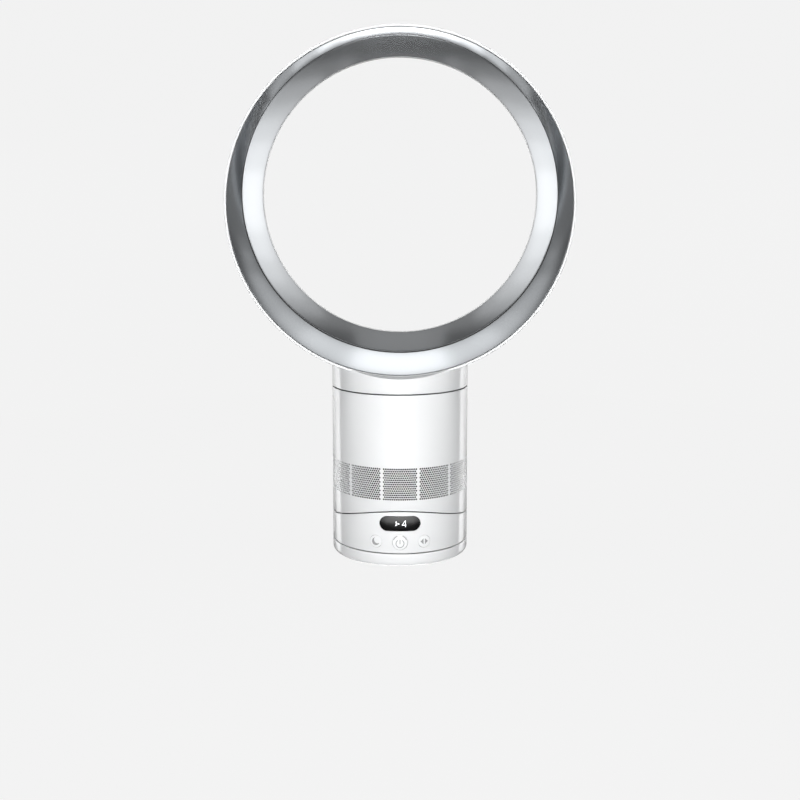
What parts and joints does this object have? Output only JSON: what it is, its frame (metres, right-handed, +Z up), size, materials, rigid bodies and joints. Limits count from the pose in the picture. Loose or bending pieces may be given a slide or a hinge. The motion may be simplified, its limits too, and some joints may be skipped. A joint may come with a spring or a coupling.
{
  "type": "bladeless fan",
  "caption": "Desk fan with an open air ring on a round perforated body, which tilts and swings on a base with a display window and push buttons.",
  "frame": {"origin": "on the floor, below the middle of the round foot", "axes": "+Z up, -Y the front that the air leaves by, +X to the right seen from the front"},
  "size_m": [0.358, 0.1454, 0.552],
  "materials": {
    "white_casing": "glossy",
    "silver_ring": "silver paint, satin gloss",
    "smoked_window": "glossy",
    "white_button": "glossy",
    "rubber": "matt",
    "foam": "open foam",
    "bearing_plastic": "moulded",
    "inner_plastic": "moulded",
    "impeller_plastic": "moulded",
    "circuit_board": "lacquered",
    "steel": "plain",
    "brass": "plain"
  },
  "bodies": {
    "foot": {"foot_disc": "white_casing", "foot_pads": "rubber", "fixed_gear": "bearing_plastic", "gear_screws": "steel", "pivot_bush": "bearing_plastic", "glide_ring": "bearing_plastic", "power_socket": "inner_plastic", "socket_contact": "brass"},
    "base": {"base_casing": "white_casing", "base_floor": "inner_plastic", "hub_retainer": "inner_plastic", "retainer_screws": "steel", "base_screws": "steel", "front_frame": "inner_plastic", "tact_switches": "inner_plastic", "display_window": "smoked_window", "display_board": "circuit_board", "ir_receiver": "circuit_board", "control_board": "circuit_board", "swing_motor": "steel", "motor_screws": "steel", "tilt_saddle": "inner_plastic"},
    "pinion": {"swing_pinion": "bearing_plastic", "pinion_shaft": "steel"},
    "sleep_button": {"sleep_button": "white_button", "sleep_plunger": "inner_plastic"},
    "power_button": {"power_button": "white_button", "power_plunger": "inner_plastic"},
    "swing_button": {"swing_button": "white_button", "swing_plunger": "inner_plastic"},
    "body": {"body_casing": "white_casing", "body_floor": "inner_plastic", "tilt_runners": "bearing_plastic", "runner_screws": "steel", "driver_board": "circuit_board", "silencing_foam": "foam", "inlet_bellmouth": "inner_plastic", "impeller_housing": "inner_plastic", "rubber_mounts": "rubber", "housing_seal": "rubber", "motor_bucket_lower": "inner_plastic", "motor_bucket_upper": "inner_plastic", "motor_stator": "steel", "lower_bearing": "steel", "upper_bearing": "steel", "body_top_ring": "inner_plastic"},
    "rotor": {"rotor_shaft": "steel", "rotor_magnet": "steel", "impeller": "impeller_plastic", "impeller_nut": "steel"},
    "nozzle": {"nozzle_casing": "white_casing", "nozzle_front": "silver_ring", "slot_spacers": "inner_plastic", "remote_magnets": "steel", "bayonet_ring": "inner_plastic", "nozzle_seal": "rubber"}
  },
  "joints": [
    {"name": "swing", "type": "hinge", "parent": "foot", "child": "base", "pos_m": [0, 0, 0.0157], "axis": [0, 0, 1], "range_deg": [-45, 45]},
    {"name": "pinion_spin", "type": "hinge", "parent": "base", "child": "pinion", "pos_m": [0, 0.032, 0.0085], "axis": [0, 0, 1], "range_deg": [-161, 161]},
    {"name": "sleep_press", "type": "slide", "parent": "base", "child": "sleep_button", "axis": [0.342, 0.9397, 0], "range_m": [0, 0.0008], "stiffness_N_per_m": 1500, "springref_m": -0.0003},
    {"name": "power_press", "type": "slide", "parent": "base", "child": "power_button", "axis": [0, 1, 0], "range_m": [0, 0.0008], "stiffness_N_per_m": 1500, "springref_m": -0.0003},
    {"name": "swing_press", "type": "slide", "parent": "base", "child": "swing_button", "axis": [-0.342, 0.9397, 0], "range_m": [0, 0.0008], "stiffness_N_per_m": 1500, "springref_m": -0.0003},
    {"name": "tilt", "type": "hinge", "parent": "base", "child": "body", "pos_m": [0, 0, 0.2227], "axis": [1, 0, 0], "range_deg": [-10, 10]},
    {"name": "impeller_spin", "type": "hinge", "parent": "body", "child": "rotor", "pos_m": [0, 0, 0.12], "axis": [0, 0, 1], "continuous": true},
    {"name": "nozzle_twist", "type": "hinge", "parent": "body", "child": "nozzle", "pos_m": [0, 0, 0.18], "axis": [0, 0, 1], "range_deg": [0, 14]}
  ],
  "couplings": [
    {"joint": "pinion_spin", "follows": "swing", "ratio": 3.5714}
  ]
}
